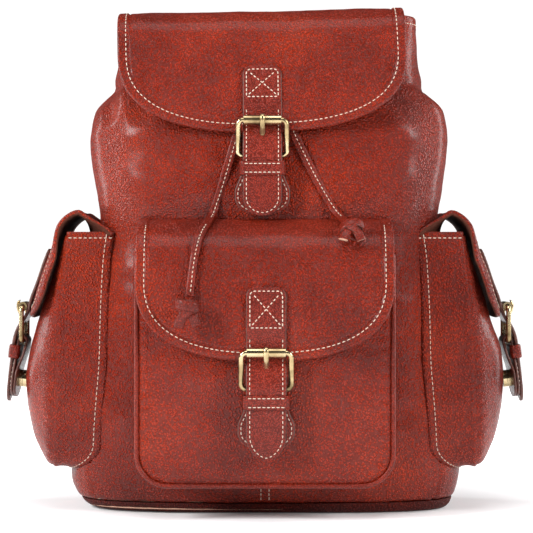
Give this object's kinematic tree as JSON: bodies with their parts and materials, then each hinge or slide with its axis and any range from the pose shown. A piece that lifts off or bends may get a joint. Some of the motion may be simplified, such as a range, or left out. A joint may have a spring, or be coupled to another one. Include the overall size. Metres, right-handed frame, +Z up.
{
  "type": "backpack",
  "caption": "Leather backpack with a hinged lid, front and side pockets, buckled straps over magnetic snaps, drawcord laces and shoulder straps",
  "frame": {"origin": "on the floor under the middle of the bag's base panel", "axes": "+X to the right for someone looking at the front, +Y from the front pocket towards the shoulder straps, +Z up"},
  "size_m": [0.428, 0.2617, 0.406],
  "materials": {
    "pebbled_leather": "satin",
    "strap_leather": "satin",
    "antique_brass": "satin",
    "lining_fabric": "matte",
    "stiffener_board": "matte"
  },
  "bodies": {
    "root": {"front_panel": "pebbled_leather", "back_panel": "pebbled_leather", "left_side_panel": "pebbled_leather", "right_side_panel": "pebbled_leather", "base_panel": "pebbled_leather", "base_board": "stiffener_board", "main_lining": "lining_fabric", "neck_eyelets": "antique_brass", "drawcord": "strap_leather", "left_lace": "strap_leather", "right_lace": "strap_leather", "pocket_panel": "pebbled_leather", "pocket_gusset": "pebbled_leather", "pocket_welt": "strap_leather", "left_pocket_panel": "pebbled_leather", "left_pocket_gusset": "pebbled_leather", "right_pocket_panel": "pebbled_leather", "right_pocket_gusset": "pebbled_leather", "snap_sockets": "antique_brass", "flap_hinge_strips": "strap_leather", "back_yoke": "strap_leather", "left_shoulder_strap": "strap_leather", "right_shoulder_strap": "strap_leather", "lower_straps": "strap_leather", "shoulder_buckle_frames": "antique_brass", "shoulder_prongs": "antique_brass"},
    "grab_handle": {"grab_handle": "strap_leather"},
    "left_shoulder_roller": {"left_shoulder_roller": "antique_brass"},
    "right_shoulder_roller": {"right_shoulder_roller": "antique_brass"},
    "main_flap": {"main_flap": "pebbled_leather"},
    "main_closure": {"main_strap": "strap_leather", "main_tab": "strap_leather", "main_frame": "antique_brass", "main_stud": "antique_brass"},
    "main_roller": {"main_roller": "antique_brass"},
    "main_prong": {"main_prong": "antique_brass"},
    "pocket_flap": {"pocket_flap": "pebbled_leather", "left_lace_end": "strap_leather", "lace_knots": "strap_leather"},
    "pocket_closure": {"pocket_strap": "strap_leather", "pocket_tab": "strap_leather", "pocket_frame": "antique_brass", "pocket_stud": "antique_brass"},
    "pocket_roller": {"pocket_roller": "antique_brass"},
    "pocket_prong": {"pocket_prong": "antique_brass"},
    "left_flap": {"left_flap": "pebbled_leather"},
    "left_closure": {"left_strap": "strap_leather", "left_tab": "strap_leather", "left_frame": "antique_brass", "left_stud": "antique_brass"},
    "left_roller": {"left_roller": "antique_brass"},
    "left_prong": {"left_prong": "antique_brass"},
    "right_flap": {"right_flap": "pebbled_leather"},
    "right_closure": {"right_strap": "strap_leather", "right_tab": "strap_leather", "right_frame": "antique_brass", "right_stud": "antique_brass"},
    "right_roller": {"right_roller": "antique_brass"},
    "right_prong": {"right_prong": "antique_brass"}
  },
  "joints": [
    {"name": "handle_swing", "type": "hinge", "parent": "root", "child": "grab_handle", "pos_m": [0, 0.068, 0.386], "axis": [1, 0, 0], "range_deg": [0, 100]},
    {"name": "left_shoulder_roller_spin", "type": "hinge", "parent": "root", "child": "left_shoulder_roller", "pos_m": [-0.092, 0.11137, 0.15814], "axis": [1, 0, 0], "continuous": true},
    {"name": "right_shoulder_roller_spin", "type": "hinge", "parent": "root", "child": "right_shoulder_roller", "pos_m": [0.092, 0.11137, 0.15814], "axis": [1, 0, 0], "continuous": true},
    {"name": "main_flap_lift", "type": "hinge", "parent": "root", "child": "main_flap", "pos_m": [0, 0.05, 0.4015], "axis": [-1, 0, 0], "range_deg": [0, 160]},
    {"name": "main_closure_swing", "type": "hinge", "parent": "main_flap", "child": "main_closure", "pos_m": [-0.002, -0.0801, 0.33], "axis": [-1, 0, 0], "range_deg": [0, 70]},
    {"name": "main_roller_spin", "type": "hinge", "parent": "main_closure", "child": "main_roller", "pos_m": [-0.002, -0.08654, 0.31216], "axis": [1, 0, 0], "continuous": true},
    {"name": "main_prong_lift", "type": "hinge", "parent": "main_closure", "child": "main_prong", "pos_m": [-0.002, -0.08187, 0.28436], "axis": [1, 0, 0], "range_deg": [0, 6]},
    {"name": "pocket_flap_lift", "type": "hinge", "parent": "root", "child": "pocket_flap", "pos_m": [0, -0.093, 0.228], "axis": [-1, 0, 0], "range_deg": [0, 75]},
    {"name": "pocket_closure_swing", "type": "hinge", "parent": "pocket_flap", "child": "pocket_closure", "pos_m": [0.001, -0.1276, 0.149], "axis": [-1, 0, 0], "range_deg": [0, 70]},
    {"name": "pocket_roller_spin", "type": "hinge", "parent": "pocket_closure", "child": "pocket_roller", "pos_m": [0.001, -0.13363, 0.13102], "axis": [1, 0, 0], "continuous": true},
    {"name": "pocket_prong_lift", "type": "hinge", "parent": "pocket_closure", "child": "pocket_prong", "pos_m": [0.001, -0.12834, 0.10333], "axis": [1, 0, 0], "range_deg": [0, 6]},
    {"name": "left_flap_lift", "type": "hinge", "parent": "root", "child": "left_flap", "pos_m": [-0.1504, 0, 0.24], "axis": [0, 1, 0], "range_deg": [0, 120]},
    {"name": "left_closure_swing", "type": "hinge", "parent": "left_flap", "child": "left_closure", "pos_m": [-0.1906, 0, 0.1805], "axis": [0, 1, 0], "range_deg": [0, 70]},
    {"name": "left_roller_spin", "type": "hinge", "parent": "left_closure", "child": "left_roller", "pos_m": [-0.19998, 0, 0.16402], "axis": [0, -1, 0], "continuous": true},
    {"name": "left_prong_lift", "type": "hinge", "parent": "left_closure", "child": "left_prong", "pos_m": [-0.20011, 0, 0.13583], "axis": [0, -1, 0], "range_deg": [0, 6]},
    {"name": "right_flap_lift", "type": "hinge", "parent": "root", "child": "right_flap", "pos_m": [0.1504, 0, 0.24], "axis": [0, -1, 0], "range_deg": [0, 120]},
    {"name": "right_closure_swing", "type": "hinge", "parent": "right_flap", "child": "right_closure", "pos_m": [0.1906, 0, 0.1805], "axis": [0, -1, 0], "range_deg": [0, 70]},
    {"name": "right_roller_spin", "type": "hinge", "parent": "right_closure", "child": "right_roller", "pos_m": [0.19998, 0, 0.16402], "axis": [0, 1, 0], "continuous": true},
    {"name": "right_prong_lift", "type": "hinge", "parent": "right_closure", "child": "right_prong", "pos_m": [0.20011, 0, 0.13583], "axis": [0, 1, 0], "range_deg": [0, 6]}
  ]
}
